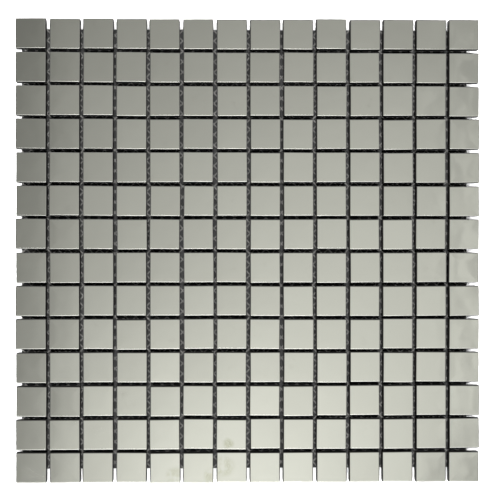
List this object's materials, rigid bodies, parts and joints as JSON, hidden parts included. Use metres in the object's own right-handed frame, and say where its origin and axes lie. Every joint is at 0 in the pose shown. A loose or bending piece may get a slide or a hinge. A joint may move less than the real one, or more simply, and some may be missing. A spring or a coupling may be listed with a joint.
{
  "type": "mosaic tile sheet",
  "caption": "Square sheet of small polished steel mosaic tiles in a straight grid, held at even open joints by a bias-laid net on their backs.",
  "frame": {"origin": "under the middle of the sheet, on the underside of the net that it lies on", "axes": "+Z out of the tile faces, +X along a row of tiles, +Y from row to row towards row 1"},
  "size_m": [0.3038, 0.3037, 0.008],
  "materials": {
    "tile": "polished",
    "net": "matte"
  },
  "bodies": {
    "root": {"tile_row_01": "tile", "tile_row_02": "tile", "tile_row_03": "tile", "tile_row_04": "tile", "tile_row_05": "tile", "tile_row_06": "tile", "tile_row_07": "tile", "tile_row_08": "tile", "tile_row_09": "tile", "tile_row_10": "tile", "tile_row_11": "tile", "tile_row_12": "tile", "tile_row_13": "tile", "tile_row_14": "tile", "net_lower_strands": "net", "net_upper_strands": "net"}
  },
  "joints": []
}
